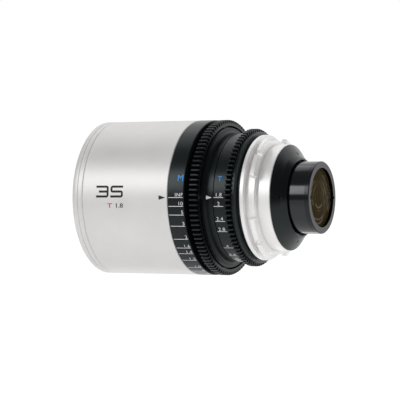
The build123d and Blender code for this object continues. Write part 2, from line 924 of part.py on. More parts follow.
def rear_glass():
    """The cemented pair and the last element, stacked against the rear end ring."""
    radius = rear_tube_bore_radius - lens_gap
    bore = radius - rear_spacer_wall
    last_front = rear_glass_rear - rear_element_edge
    spacer_front = last_front - rear_spacer_length
    joint = spacer_front - doublet_rear_edge
    pair_front = joint - cement_gap - doublet_front_edge
    return {
        "rear_element": make_element(
            last_front, rear_glass_rear, radius, rear_element_front_sag, rear_element_rear_sag
        ),
        "rear_spacer": tube(spacer_front, last_front, radius, bore),
        "doublet_rear": make_element(joint, spacer_front, radius, doublet_joint_sag, doublet_rear_sag),
        "doublet_front": make_element(
            pair_front, joint - cement_gap, radius, doublet_front_sag, doublet_joint_sag
        ),
        "doublet_retaining_ring": tube(
            pair_front - doublet_ring_length,
            pair_front,
            rear_tube_bore_radius - fit_gap,
            bore,
        ),
    }


def make_iris_plate():
    """Fixed plate of the iris cage, with the nine pivot pins of the blades."""
    rear = iris_plate_place + iris_plate_thickness
    plate = tube(
        iris_plate_place,
        rear,
        housing_rear_bore_radius - fit_gap,
        iris_open_radius + iris_plate_step,
    )
    for index in range(blade_count):
        plate += iris_pin(index, 0.0, rear, iris_axial_gap + blade_stack, blade_stud_radius)
    return plate


def iris_pin(index, turn, place, length, radius):
    """A pin on the pivot circle of the iris, turned from blade number index by an angle."""
    angle = math.radians(360.0 * index / blade_count + turn)
    side = blade_pivot_circle_radius * math.cos(angle)
    height = -blade_pivot_circle_radius * math.sin(angle)
    return Pos(place + length / 2, side, height) * Rot(0, 90, 0) * Cylinder(radius, length)


def blade_turn():
    """Angle in degrees that a blade turns about its pivot to close the iris."""
    shift = iris_open_radius - iris_closed_radius
    return 2 * math.degrees(math.asin(shift / (2 * blade_pivot_circle_radius)))


def make_iris_blade(index):
    """One blade: a curved band with an ear for its pivot and one for its drive stud."""
    inner = iris_open_radius
    outer = iris_open_radius + blade_band_width
    middle = (blade_start_angle + blade_end_angle) / 2

    def at(radius, angle):
        return (radius * math.cos(math.radians(angle)), radius * math.sin(math.radians(angle)))

    outline = [
        ThreePointArc(at(inner, blade_start_angle), at(inner, middle), at(inner, blade_end_angle)),
        Line(at(inner, blade_end_angle), at(outer, blade_end_angle)),
        ThreePointArc(at(outer, blade_end_angle), at(outer, middle), at(outer, blade_start_angle)),
        Line(at(outer, blade_start_angle), at(inner, blade_start_angle)),
    ]
    shape = make_face(outline)
    ear_root = outer - blade_ear_radius
    for angle in (0.0, blade_drive_angle):
        ear_arm = Line(at(ear_root, angle), at(blade_pivot_circle_radius, angle))
        shape += SlotCenterToCenter(ear_arm.length, 2 * blade_ear_radius).locate(
            Location((*at((ear_root + blade_pivot_circle_radius) / 2, angle), 0), (0, 0, angle))
        )
    front = iris_plate_place + iris_plate_thickness + iris_axial_gap + index * blade_pitch
    plane = Plane(origin=(front + blade_thickness, 0, 0), x_dir=(0, 1, 0), z_dir=(-1, 0, 0))
    blade = extrude(plane * shape, blade_thickness)
    turn = 360.0 * index / blade_count
    blade = blade.rotate(Axis.X, -turn)
    blade += iris_pin(index, blade_drive_angle, front + blade_thickness, blade_stud_height, blade_stud_radius)
    hole_length = blade_thickness + 2 * blade_stud_height
    return blade - iris_pin(
        index,
        0.0,
        front - blade_stud_height,
        hole_length,
        blade_stud_radius + running_gap,
    )


def drive_slot_point(share):
    """Where a blade's drive stud lies in the turning ring, after a share of the throw."""
    angle = math.radians(blade_turn() * share)
    start = math.radians(blade_drive_angle)
    pivot = blade_pivot_circle_radius
    arm_x = pivot * math.cos(start) - pivot
    arm_y = pivot * math.sin(start)
    x = pivot + arm_x * math.cos(angle) - arm_y * math.sin(angle)
    y = arm_x * math.sin(angle) + arm_y * math.cos(angle)
    back = -math.radians(iris_throw * share)
    return (x * math.cos(back) - y * math.sin(back), x * math.sin(back) + y * math.cos(back))


def make_iris_drive_ring():
    """Ring that turns with the iris ring and swings the blades by nine curved slots."""
    rear = drive_ring_place + drive_ring_thickness
    ring = tube(drive_ring_place, rear, housing_rear_bore_radius - running_gap, drive_ring_bore_radius)
    depth = drive_ring_thickness * drive_slot_depth_share
    plane = Plane(origin=(drive_ring_place + depth, 0, 0), x_dir=(0, 1, 0), z_dir=(-1, 0, 0))
    path = ThreePointArc(drive_slot_point(0.0), drive_slot_point(0.5), drive_slot_point(1.0))
    slot = extrude(plane * SlotArc(path, 2 * (blade_stud_radius + running_gap)), depth + iris_axial_gap)
    for index in range(blade_count):
        ring -= slot.rotate(Axis.X, -360.0 * index / blade_count)
    return ring - radial_pin(
        iris_post_place,
        housing_rear_bore_radius - follower_root_depth,
        housing_rear_bore_radius + overrun,
        iris_post_radius,
        iris_post_clock,
    )


def make_iris_post():
    """Post from the drive ring out into the iris ring's groove."""
    tip = iris_ring_bore_radius + iris_groove_depth - focus_ring_gap
    return radial_pin(
        iris_post_place,
        housing_rear_bore_radius - follower_root_depth,
        tip,
        iris_post_radius,
        iris_post_clock,
    )


def make_rear_guide():
    """Fixed sleeve in the mount that steadies the rear tube."""
    return tube(mount_front_place, rear_guide_rear_place, rear_guide_radius, rear_tube_radius + rear_tube_gap)


def make_rear_cell():
    """Glossy rear tube, flanged at the front, that carries the rear glass."""
    flange_rear = rear_cell_flange_place + rear_cell_flange_thickness
    tube_rear = rear_tube_rear_place - rear_end_ring_length
    seat_radius = rear_tube_bore_radius + rear_end_spigot_wall
    seat_front = tube_rear - rear_end_spigot_length
    return turned(
        (rear_cell_flange_place, rear_tube_bore_radius),
        (rear_cell_flange_place, rear_cell_flange_radius),
        (flange_rear, rear_cell_flange_radius),
        (flange_rear, rear_tube_radius),
        (tube_rear, rear_tube_radius),
        (tube_rear, seat_radius + fit_gap),
        (seat_front, seat_radius + fit_gap),
        (seat_front, rear_tube_bore_radius),
    )


def make_rear_end_ring():
    """End ring that holds the last element, with two notches for a pin spanner."""
    front = rear_tube_rear_place - rear_end_ring_length
    spigot_front = front - rear_end_spigot_length
    ring = turned(
        (spigot_front, rear_tube_bore_radius),
        (spigot_front, rear_tube_bore_radius + rear_end_spigot_wall),
        (front, rear_tube_bore_radius + rear_end_spigot_wall),
        (front, rear_tube_radius),
        (rear_tube_rear_place - rear_edge_chamfer, rear_tube_radius),
        (rear_tube_rear_place, rear_tube_radius - rear_edge_chamfer),
        (rear_tube_rear_place, rear_end_ring_bore_radius),
        (rear_glass_rear, rear_end_ring_bore_radius),
        (rear_glass_rear, rear_tube_bore_radius),
    )
    notch_outer = rear_end_ring_bore_radius + rear_notch_depth
    notch_height = rear_notch_depth + overrun
    notch = Pos(rear_tube_rear_place, 0, notch_outer - notch_height / 2)
    notch *= Box(2 * rear_notch_depth, rear_notch_width, notch_height)
    for angle in clock_angles(rear_notch_count, 0.0):
        ring -= clock(notch, angle)
    return ring


def make_rear_shroud():
    """Black cone from the spigot to the rear tube; its front enters the mount's bore."""
    spigot_outer = spigot_bore_radius - fit_gap
    clamp_front = shroud_waist_place - shroud_clamp_length / 2
    clamp_bore = rear_guide_radius + fit_gap
    tube_clear = rear_tube_radius + rear_tube_gap + shroud_wall / 2
    return turned(
        (shroud_front_place, spigot_outer - shroud_wall),
        (shroud_front_place, spigot_outer),
        (spigot_length, spigot_outer),
        (spigot_length, shroud_cone_radius),
        (shroud_waist_place, shroud_waist_radius),
        (shroud_rear_place, shroud_rear_radius),
        (shroud_rear_place, tube_clear),
        (rear_guide_rear_place, tube_clear),
        (rear_guide_rear_place, clamp_bore),
        (clamp_front, clamp_bore),
        (clamp_front, clamp_bore + shroud_wall),
        (spigot_length, spigot_outer - shroud_wall),
    )


def make_shroud_screws():
    """Grub screws that clamp the shroud on the guide sleeve."""
    outer = shroud_waist_radius - shroud_screw_sink
    screws = [
        radial_pin(shroud_waist_place, rear_guide_radius + fit_gap, outer, shroud_screw_radius, angle)
        for angle in clock_angles(shroud_screw_count, 0.0)
    ]
    return Compound(screws)


def drill_shroud(shroud):
    """The four threaded holes of the shroud's grub screws."""
    for angle in clock_angles(shroud_screw_count, 0.0):
        shroud -= radial_pin(
            shroud_waist_place,
            rear_guide_radius - overrun,
            shroud_waist_radius + overrun,
            shroud_screw_radius + fit_gap,
            angle,
        )
    return shroud


def save(name, shape):
    """Writes one node."""
    if not isinstance(shape, Compound) or len(shape.solids()) == 1:
        shape = shape.solids()[0]
    shape.label = name
    export_step(shape, f"parts/{name}.step")
    volume = sum(solid.volume for solid in shape.solids())
    print(f"{name}: {len(shape.solids())} solid(s), {volume:.1f} mm3")


def main():
    os.makedirs("parts", exist_ok=True)
    save("pl_mount", make_pl_mount())
    save("mount_shim", make_mount_shim())
    save("mount_screws", make_mount_screws())
    save("filter_ring", make_filter_ring())
    save("front_barrel", make_front_barrel())
    save("barrel_lock_ring", make_barrel_lock_ring())
    save("chassis", make_chassis())
    save("cam_retaining_ring", make_cam_retaining_ring())
    save("cam_front_bearing", make_cam_front_bearing())
    save("cam_rear_bearing", make_cam_rear_bearing())
    save("cam_barrel", make_cam_barrel())
    save("focus_ring", make_focus_ring())
    save("focus_gear_ring", make_focus_gear_ring())
    save("focus_screws", make_focus_screws())
    save("focus_stop_lug", make_focus_stop_lug())
    save("focus_stop_pins", make_focus_stop_pins())
    save("index_ring", make_index_ring())
    save("iris_ring", make_iris_ring())
    save("iris_gear_ring", make_iris_gear_ring())
    save("iris_retaining_ring", make_iris_retaining_ring())
    save("optical_housing", make_optical_housing())
    save("follower_pins", make_follower_pins())
    save("front_cell", make_front_cell())
    save("iris_plate", make_iris_plate())
    for index in range(blade_count):
        save(f"iris_blade_{index + 1}", make_iris_blade(index))
    save("iris_drive_ring", make_iris_drive_ring())
    save("iris_post", make_iris_post())
    save("rear_guide", make_rear_guide())
    save("rear_cell", make_rear_cell())
    save("rear_end_ring", make_rear_end_ring())
    save("rear_shroud", drill_shroud(make_rear_shroud()))
    save("shroud_screws", make_shroud_screws())
    for group in (front_glass(), middle_glass(), rear_glass()):
        for name, shape in group.items():
            save(name, shape)


main()
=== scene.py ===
# %% [markdown]
# # A cinema prime lens
# The lens lies on its optical axis, which is X, and points to the left. The camera that it belongs
# to would be on the right, at +X. The CAD model gives every piece its place and its size, so this
# script only adds what CAD leaves out: softened edges, threads, printed scales, glass and finishes.

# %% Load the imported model
import json
import math

import bmesh
import bpy
from mathutils import Matrix, Vector


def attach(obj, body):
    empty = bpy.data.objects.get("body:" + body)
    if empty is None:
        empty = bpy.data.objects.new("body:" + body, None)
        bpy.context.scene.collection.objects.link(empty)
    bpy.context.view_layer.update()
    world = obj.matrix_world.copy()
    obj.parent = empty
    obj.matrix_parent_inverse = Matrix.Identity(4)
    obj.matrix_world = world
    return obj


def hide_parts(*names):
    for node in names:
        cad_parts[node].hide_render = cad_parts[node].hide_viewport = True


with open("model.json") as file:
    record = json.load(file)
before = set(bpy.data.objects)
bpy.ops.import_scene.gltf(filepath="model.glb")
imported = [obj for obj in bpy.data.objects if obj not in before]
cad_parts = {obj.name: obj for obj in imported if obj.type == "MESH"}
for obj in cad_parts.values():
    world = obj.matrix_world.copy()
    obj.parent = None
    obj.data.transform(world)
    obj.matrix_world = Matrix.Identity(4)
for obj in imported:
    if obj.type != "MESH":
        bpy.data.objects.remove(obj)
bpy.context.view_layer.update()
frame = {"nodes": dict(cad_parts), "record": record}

# %% [markdown]
# ## Units and clock angles
# Sizes are written in millimetres, as on a drawing, and become metres once, when a mesh is
# finished. A place is measured along the axis from the mount's seat, and the front is negative. A
# place round the lens is a clock angle: 0 faces the photographer (-Y), 90 is the top.

# %% Units and clock angles
MM = 0.001


def on_clock(place, radius, angle):
    """A point on the lens, in millimetres, from its place on the axis, radius and clock angle."""
    turn = math.radians(angle)
    return Vector((place, -radius * math.cos(turn), radius * math.sin(turn)))


print("a point on top of the axis:", tuple(round(c, 3) for c in on_clock(0.0, 1.0, 90.0)))

# %% [markdown]
# ## Turned metal
# Nearly every piece of a lens comes off a lathe. The direct way to model one is the lathe's own:
# draw half of its section, then spin it round the axis. A subdivided cylinder would need loops
# for each step, and a boolean leaves messy edges. A spin can turn a shape inside out, so its
# normals are recalculated once the doubles of its seam are merged.

# %% A lathe
SPIN_STEPS = 288
SEAM = 1e-4


def spin_section(corners):
    """A bmesh, in millimetres, of a closed half section of (place, radius) corners spun round X."""
    mesh = bmesh.new()
    points = [mesh.verts.new((place, -radius, 0.0)) for place, radius in corners]
    edges = [mesh.edges.new((points[i - 1], points[i])) for i in range(len(points))]
    bmesh.ops.spin(
        mesh,
        geom=points + edges,
        cent=(0, 0, 0),
        axis=(1, 0, 0),
        angle=math.tau,
        steps=SPIN_STEPS,
        use_merge=True,
    )
    bmesh.ops.remove_doubles(mesh, verts=mesh.verts[:], dist=SEAM)
    bmesh.ops.recalc_face_normals(mesh, faces=mesh.faces[:])
    return mesh


print("a spin has", SPIN_STEPS, "steps")

# %% [markdown]
# ## Broken edges
# A real edge is broken by a tenth of a millimetre and catches the light. So every ring of edges
# that turns sharply gets a narrow bevel. A bevel modifier could do it too, but the operator lets
# each piece choose how sharp an edge must be, which spares the slanted walls of a fine thread.

# %% Breaking the edges
EDGE_BREAK = 0.09
SHARP_EDGE = 25.0
STEEP_EDGE = 50.0


def break_edges(mesh, width=EDGE_BREAK, over=SHARP_EDGE):
    """Bevels each edge that turns by more than an angle in degrees."""
    least = math.radians(over)
    sharp = [e for e in mesh.edges if len(e.link_faces) == 2 and e.calc_face_angle() > least]
    bmesh.ops.bevel(
        mesh,
        geom=sharp,
        offset=width,
        offset_type="OFFSET",
        segments=2,
        profile=0.5,
        affect="EDGES",
        clamp_overlap=True,
        material=-1,
    )


print("edges are broken by", EDGE_BREAK, "mm")

# %% [markdown]
# ## From a bmesh to a piece
# Each piece is a named object at the origin, with its place in its mesh. It rides on a body, so it
# moves when that body does. Smooth shading with weighted normals keeps the wide walls even and
# lets only the narrow bevels round over, which more loops would do at a higher cost.

# %% Finishing a piece
def put_in_scene(name, mesh):
    """Turns a bmesh in millimetres into an object whose mesh is in metres."""
    bmesh.ops.scale(mesh, vec=(MM, MM, MM), verts=mesh.verts[:])
    data = bpy.data.meshes.new(name)
    mesh.to_mesh(data)
    mesh.free()
    piece = bpy.data.objects.new(name, data)
    bpy.context.scene.collection.objects.link(piece)
    print(name, len(data.polygons), "faces")
    return piece


def finish_piece(name, mesh, body, replaced):
    """Makes a smooth piece that rides on a body and takes the place of a CAD node."""
    piece = put_in_scene(name, mesh)
    piece.data.shade_smooth()
    weighted = piece.modifiers.new("weighted_normals", "WEIGHTED_NORMAL")
    weighted.weight = 100
    weighted.keep_sharp = True
    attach(piece, body)
    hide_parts(replaced)
    return piece


# %% [markdown]
# ## Front ring
# The front ring holds filters, so its mouth is threaded. A true helix of this fine pitch can't be
# told from stacked rings, so the thread is a row of V grooves in the section, and costs one spin.
# Front ring, barrel and focus ring share one outside radius, and small chamfers mark their joints.

# %% Front ring with its filter thread
OUTER = 40.0
CHAMFERED = 39.7
THREAD_PITCH = 0.75
THREAD_DEPTH = 0.4
THREAD_BORE = 38.1
THREAD_EDGE_BREAK = 0.06


def thread_corners(front, rear):
    """Corners of a row of V grooves in the mouth, from the rear to the front."""
    corners = []
    for step in range(int((rear - front) / THREAD_PITCH)):
        place = rear - step * THREAD_PITCH
        corners.append((place, THREAD_BORE))
        corners.append((place - THREAD_PITCH / 2, THREAD_BORE + THREAD_DEPTH))
    return corners


rim = [(-98.0, 38.5), (-98.0, 39.3), (-97.3, OUTER), (-94.95, OUTER)]
groove = [(-94.95, CHAMFERED), (-94.65, CHAMFERED), (-94.65, OUTER)]
joint = [(-92.3, OUTER), (-92.0, CHAMFERED), (-92.0, 37.48), (-86.0, 37.48), (-86.0, 35.58)]
mouth = [(-93.0, 35.58), (-93.0, THREAD_BORE), *thread_corners(-97.4, -93.4), (-97.5, THREAD_BORE)]
front_ring = spin_section(rim + groove + joint + mouth)
break_edges(front_ring, THREAD_EDGE_BREAK, STEEP_EDGE)
filter_ring_piece = finish_piece(
    "front_ring", front_ring, "housing", "filter_ring"
)

# %% [markdown]
# ## Front barrel
# A plain sleeve. Its only details are the chamfers at both ends, which show as fine dark lines
# where it meets its neighbours, and the inner web that grips the chassis.

# %% Front barrel
BARREL_BORE = 37.5
sleeve = [(-92.0, BARREL_BORE), (-92.0, CHAMFERED), (-91.7, OUTER), (-43.55, OUTER)]
sleeve += [(-43.2, 39.65), (-43.2, BARREL_BORE)]
web = [(-57.0, BARREL_BORE), (-57.0, 31.02), (-60.0, 31.02), (-60.0, BARREL_BORE)]
barrel = spin_section(sleeve + web)
break_edges(barrel)
barrel_piece = finish_piece("outer_barrel", barrel, "housing", "front_barrel")

# %% [markdown]
# ## Focus ring
# The sleeve that the scale is printed on, with the deep groove before the gear and the seat that
# the gear sits on.

# %% Focus ring
band = [(-43.05, 37.2), (-43.05, CHAMFERED), (-42.75, OUTER), (-34.35, OUTER), (-34.05, CHAMFERED)]
gear_seat = [(-34.05, 37.6), (-31.15, 37.6), (-31.15, 36.9), (-29.15, 36.9), (-29.15, 35.4)]
front_end = [(-45.85, 33.02), (-45.85, 37.2)]
inner_step = [(-39.85, 35.4), (-39.85, 33.02)]
focus_ring = spin_section(front_end + band + gear_seat + inner_step)
break_edges(focus_ring)
focus_ring_piece = finish_piece(
    "focus_sleeve", focus_ring, "focus_ring_body", "focus_ring"
)

# %% [markdown]
# ## One tooth
# A follow-focus gear has straight teeth of a standard module, which is the pitch diameter over the
# number of teeth. The flanks of so fine a tooth look straight, so two corners for each flank are
# enough, and one more rounds the tip off. Only the rising half is drawn: the other is its mirror.

# %% One tooth
GEAR_MODULE = 0.8
DEDENDUM = 1.25
ROOT_SHARE = 0.27
TIP_SHARE = 0.72
ROUND_OFF = 0.1
ROUND_OFF_LEAN = 0.02


def tooth_outline(teeth):
    """The (radius, clock angle) corners of one tooth, from the middle of one gap to the next."""
    pitch_radius = teeth * GEAR_MODULE / 2
    tip, root = pitch_radius + GEAR_MODULE, pitch_radius - DEDENDUM * GEAR_MODULE
    half_space = math.pi * GEAR_MODULE / 2
    root_angle = math.degrees(ROOT_SHARE * half_space / root)
    tip_angle = math.degrees(TIP_SHARE * half_space / tip)
    rising = [(root, 0.0), (root, root_angle)]
    rising.append((tip - ROUND_OFF, tip_angle - math.degrees(ROUND_OFF_LEAN / tip)))
    rising.append((tip, tip_angle + math.degrees(ROUND_OFF / tip)))
    falling = [(radius, 360.0 / teeth - angle) for radius, angle in reversed(rising)]
    return rising + falling


print("a tooth has", len(tooth_outline(98)), "corners")

# %% [markdown]
# ## Extruding
# Extruding makes copies of the chosen faces and walls that join them to the old ones. The operator
# leaves the copies where they started, so they are moved in the same step.

# %% Extruding
FLAT = 1e-4


def extrude(mesh, faces, way):
    """Extrudes faces by a vector and returns the points that moved."""
    result = bmesh.ops.extrude_face_region(mesh, geom=faces)
    moved = [g for g in result["geom"] if isinstance(g, bmesh.types.BMVert)]
    bmesh.ops.translate(mesh, vec=way, verts=moved)
    return moved


def faces_at(mesh, place):
    """The faces that lie flat across the axis at one place."""
    return [f for f in mesh.faces if all(abs(v.co.x - place) < FLAT for v in f.verts)]


print("a face counts as flat within", FLAT, "mm")

# %% [markdown]
# ## Gear rings
# The tooth is drawn in the plane across the axis and spun with duplicates, which repeats it round
# the ring. Bridging that outline to a circle with as many points closes the front face, and two
# extrusions give the straight teeth and the chamfer behind them, which comes down to the pitch
# circle. An array modifier would repeat the tooth as well, but leaves seams between copies.

# %% Gear rings
TOOTH_SEAM = 1e-3
GEAR_EDGE_BREAK = 0.05


def gear_ring(front, face_rear, rear, teeth, bore):
    """A bmesh, in millimetres, of a toothed ring with a chamfer at its rear."""
    mesh = bmesh.new()
    verts = [mesh.verts.new(on_clock(front, *corner)) for corner in tooth_outline(teeth)]
    edges = [mesh.edges.new(pair) for pair in zip(verts, verts[1:])]
    bmesh.ops.spin(
        mesh,
        geom=verts + edges,
        cent=(0, 0, 0),
        axis=(-1, 0, 0),
        angle=math.tau,
        steps=teeth,
        use_duplicate=True,
    )
    bmesh.ops.remove_doubles(mesh, verts=mesh.verts[:], dist=TOOTH_SEAM)
    outer = mesh.edges[:]
    across = Matrix.Translation((front, 0, 0)) @ Matrix.Rotation(math.pi / 2, 4, "Y")
    inner = bmesh.ops.create_circle(
        mesh, cap_ends=False, radius=bore, segments=len(outer), matrix=across
    )
    inner_edges = list({e for v in inner["verts"] for e in v.link_edges})
    bmesh.ops.bridge_loops(mesh, edges=outer + inner_edges)
    extrude(mesh, faces_at(mesh, front), (face_rear - front, 0, 0))
    inside = faces_at(mesh, face_rear)
    rear_points = extrude(mesh, inside, (rear - face_rear, 0, 0))
    bmesh.ops.delete(mesh, geom=inside, context="FACES_ONLY")
    pitch_radius = teeth * GEAR_MODULE / 2
    for vert in rear_points:
        shrink = min(1.0, pitch_radius / math.hypot(vert.co.y, vert.co.z))
        vert.co.y *= shrink
        vert.co.z *= shrink
    bmesh.ops.recalc_face_normals(mesh, faces=mesh.faces[:])
    break_edges(mesh, GEAR_EDGE_BREAK, STEEP_EDGE)
    return mesh


print("a tooth's edges are broken by", GEAR_EDGE_BREAK, "mm")

# %% [markdown]
# ## The two gears
# The focus ring's gear has 98 teeth and the iris ring's 86. With a module of 0.8 mm they come out
# at 80.0 and 70.4 mm across, and one kind of motor gear drives both.

# %% The two gears
focus_gear = gear_ring(-31.15, -27.15, -26.65, teeth=98, bore=36.92)
focus_gear_piece = finish_piece(
    "focus_gear", focus_gear, "focus_ring_body", "focus_gear_ring"
)
iris_gear = gear_ring(-14.2, -11.3, -11.0, teeth=86, bore=32.22)
iris_gear_piece = finish_piece(
    "iris_gear", iris_gear, "iris_ring_body", "iris_gear_ring"
)

# %% [markdown]
# ## Grub screws
# Four small socket screws clamp the cone. A recess in the end makes them read as screws, so each
# is a short rod whose outer face is inset and pushed in. At half a millimetre a round recess can't
# be told from a hexagon.

# %% Grub screws of the cone
SCREW_PLACE = 10.6
SCREW_RADIUS = 0.6
SCREW_BOTTOM = 20.47
SCREW_TOP = 21.85
SOCKET_WALL = 0.22
SOCKET_DEPTH = 0.35

screws = bmesh.new()
for angle in (0.0, 90.0, 180.0, 270.0):
    upright = Matrix.Rotation(math.radians(90.0 - angle), 4, "X")
    placed = upright @ Matrix.Translation((SCREW_PLACE, 0, SCREW_BOTTOM))
    disc = bmesh.ops.create_circle(
        screws, cap_ends=True, radius=SCREW_RADIUS, segments=24, matrix=placed
    )
    out = upright.to_3x3() @ Vector((0, 0, 1))
    foot = disc["verts"][0].link_faces[0]
    top = bmesh.ops.extrude_discrete_faces(screws, faces=[foot])["faces"]
    bmesh.ops.translate(screws, vec=out * (SCREW_TOP - SCREW_BOTTOM), verts=top[0].verts)
    bmesh.ops.inset_individual(screws, faces=top, thickness=SOCKET_WALL)
    bmesh.ops.translate(screws, vec=out * -SOCKET_DEPTH, verts=top[0].verts)
bmesh.ops.recalc_face_normals(screws, faces=screws.faces[:])
screws_piece = finish_piece("cone_screws", screws, "housing", "shroud_screws")

# %% [markdown]
# ## Printed marks
# The scales are engraved and filled with paint. A flat mark is made first, as text or as a thin
# plate. It is cut into narrow strips and rolled onto the ring: its x runs along the axis and its y
# becomes a clock angle. Without the cuts a long letter would bridge the curve and sink into it.

# %% Rolling a flat mark onto a ring
MARK_HEIGHT = 0.02
STRIP = 0.4


def roll_on(mesh, place, radius, angle):
    """Moves a flat bmesh, in millimetres, onto a cylinder, with its origin at a clock angle."""
    low = min(v.co.y for v in mesh.verts)
    high = max(v.co.y for v in mesh.verts)
    for step in range(1, int((high - low) / STRIP) + 1):
        bmesh.ops.bisect_plane(
            mesh,
            geom=mesh.verts[:] + mesh.edges[:] + mesh.faces[:],
            plane_co=(0, low + step * STRIP, 0),
            plane_no=(0, 1, 0),
        )
    for vert in mesh.verts:
        lift = radius + vert.co.z
        vert.co = on_clock(place + vert.co.x, lift, angle + math.degrees(vert.co.y / radius))
    return mesh


print("marks stand", MARK_HEIGHT, "mm proud")

# %% [markdown]
# ## Flat text
# Text objects give the letters. Drawing them as outlines would take hours, and a font is even. Each
# is made a mesh before it is placed, because only a mesh can be cut and rolled. It gets the same
# height above and below the ring's surface, so that it can't flicker there.

# %% Flat text
CAPITAL_SHARE = 0.73
LETTER_STEPS = 4


def flat_text(words, height, align, stretch, weight, spacing):
    """A bmesh, in millimetres, of a line of text whose base line is y = 0."""
    curve = bpy.data.curves.new("lettering", "FONT")
    curve.body = words
    curve.size = height / CAPITAL_SHARE
    curve.align_x = align
    curve.extrude = MARK_HEIGHT
    curve.offset = weight
    curve.space_character = spacing
    curve.resolution_u = LETTER_STEPS
    holder = bpy.data.objects.new("lettering", curve)
    bpy.context.scene.collection.objects.link(holder)
    bpy.context.view_layer.update()
    data = bpy.data.meshes.new_from_object(holder)
    mesh = bmesh.new()
    mesh.from_mesh(data)
    bmesh.ops.scale(mesh, vec=(stretch, 1, 1), verts=mesh.verts[:])
    bmesh.ops.remove_doubles(mesh, verts=mesh.verts[:], dist=SEAM)
    bpy.data.objects.remove(holder)
    bpy.data.curves.remove(curve)
    bpy.data.meshes.remove(data)
    return mesh


print("a capital is", CAPITAL_SHARE, "of its font size")

# %% [markdown]
# ## Flat plates
# What a font hasn't got, such as a line, a long triangle or a wide figure with round corners, is an
# outline of a few points. Its round corners are bevelled before it gets its thickness.

# %% Flat plates
CORNER_STEPS = 5


def flat_outline(points, rounded=(), corner=0.0):
    """A bmesh, in millimetres, of a thin plate of (x, y) corners, some of them rounded."""
    mesh = bmesh.new()
    corners = [mesh.verts.new((x, y, -MARK_HEIGHT)) for x, y in points]
    mesh.faces.new(corners)
    if rounded:
        bmesh.ops.bevel(
            mesh,
            geom=[corners[i] for i in rounded],
            offset=corner,
            offset_type="OFFSET",
            segments=CORNER_STEPS,
            profile=0.5,
            affect="VERTICES",
            material=-1,
        )
    extrude(mesh, mesh.faces[:], (0, 0, 2 * MARK_HEIGHT))
    bmesh.ops.recalc_face_normals(mesh, faces=mesh.faces[:])
    return mesh


print("a round corner has", CORNER_STEPS, "steps")

# %% [markdown]
# ## Lines and numbers of a scale
# A scale is a row of lines along the axis, each with its number just above. A whole scale is one
# piece, since it is filled with one paint and rides on one ring.

# %% Lines and numbers of a scale
LINE_WIDTH = 0.26
TEXT_ABOVE = 0.35
NUMBERS = {"height": 1.9, "stretch": 1.1, "weight": -0.015, "spacing": 1.1}


def scale_line(front, rear, radius, angle):
    """A line along the axis on a ring."""
    length, half = rear - front, LINE_WIDTH / 2
    line = flat_outline([(0, -half), (length, -half), (length, half), (0, half)])
    return roll_on(line, front, radius, angle)


def scale_text(
    words, place, radius, angle, height, align="RIGHT", stretch=1.0, weight=0.0, spacing=1.0
):
    """A number or a letter that stands just above its line."""
    mesh = flat_text(words, height, align, stretch, weight, spacing)
    higher = math.degrees((LINE_WIDTH / 2 + TEXT_ABOVE) / radius)
    return roll_on(mesh, place, radius, angle + higher)


def finish_marks(name, parts, body, paint):
    """Joins marks that are already rolled on into one painted piece."""
    whole = bmesh.new()
    for part in parts:
        data = bpy.data.meshes.new("mark")
        part.to_mesh(data)
        whole.from_mesh(data)
        part.free()
        bpy.data.meshes.remove(data)
    piece = put_in_scene(name, whole)
    piece.data.materials.append(paint)
    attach(piece, body)


print("numbers are", NUMBERS["height"], "mm tall")

# %% [markdown]
# ## Building a finish from nodes
# Every finish here is a few procedural nodes in front of one shader. Image textures could hold the
# same, but would need unwrapping and files. Small helpers add a node and fill its inputs, so that
# a finish reads as a list of what feeds what.

# %% Helpers for nodes
def new_finish(name):
    """A material, its node tree and its shader."""
    finish = bpy.data.materials.new(name)
    finish.use_nodes = True
    return finish, finish.node_tree, finish.node_tree.nodes["Principled BSDF"]


def feed(tree, node, values):
    """Fills inputs of a node: a socket is linked, anything else is set as a value."""
    for key, value in values.items():
        if isinstance(value, bpy.types.NodeSocket):
            tree.links.new(value, node.inputs[key])
        else:
            node.inputs[key].default_value = value


def add_node(tree, kind, values, output, **settings):
    """Adds a node, with its settings first and its inputs next, and returns one of its outputs."""
    node = tree.nodes.new(kind)
    for key, value in settings.items():
        setattr(node, key, value)
    feed(tree, node, values)
    return node.outputs[output]


def opaque(colour, share=1.0):
    """A colour with its alpha, made lighter or darker by a share."""
    return (*[min(1.0, c * share) for c in colour], 1.0)


WHITE = opaque((1.0, 1.0, 1.0))
print("white as a socket takes it:", WHITE)

# %% [markdown]
# ## Places and noise
# Nearly all patterns start from where a point is on its piece. Object coordinates give that in
# metres, and stay with the piece when it turns. A noise reads them, or some of them.

# %% Places and noise
def object_place(tree):
    """The place of a point on its piece, in metres."""
    return add_node(tree, "ShaderNodeTexCoord", {}, "Object")


def parts_of(tree, place):
    """The X, Y and Z of a place, as three numbers."""
    apart = tree.nodes.new("ShaderNodeSeparateXYZ")
    feed(tree, apart, {"Vector": place})
    return apart.outputs["X"], apart.outputs["Y"], apart.outputs["Z"]


def noise(tree, place, scale, detail, dimensions="3D"):
    """A noise that reads a place."""
    values = {"Vector": place, "Scale": scale, "Detail": detail}
    return add_node(tree, "ShaderNodeTexNoise", values, "Fac", noise_dimensions=dimensions)


def length_across(tree, first, second):
    """The length of the way across the axis that two numbers give."""
    way = add_node(tree, "ShaderNodeCombineXYZ", {"X": first, "Y": second}, "Vector")
    return add_node(tree, "ShaderNodeVectorMath", {0: way}, "Value", operation="LENGTH")


readers = (object_place, parts_of, noise, length_across)
print("nodes that read a place:", ", ".join(helper.__name__ for helper in readers))

# %% [markdown]
# ## Ranges, mixes and directions
# What a noise gives runs from 0 to 1. These nodes bring it to the range that a shader needs, mix
# two colours by it, calculate with it, or measure how far one way points in a direction.

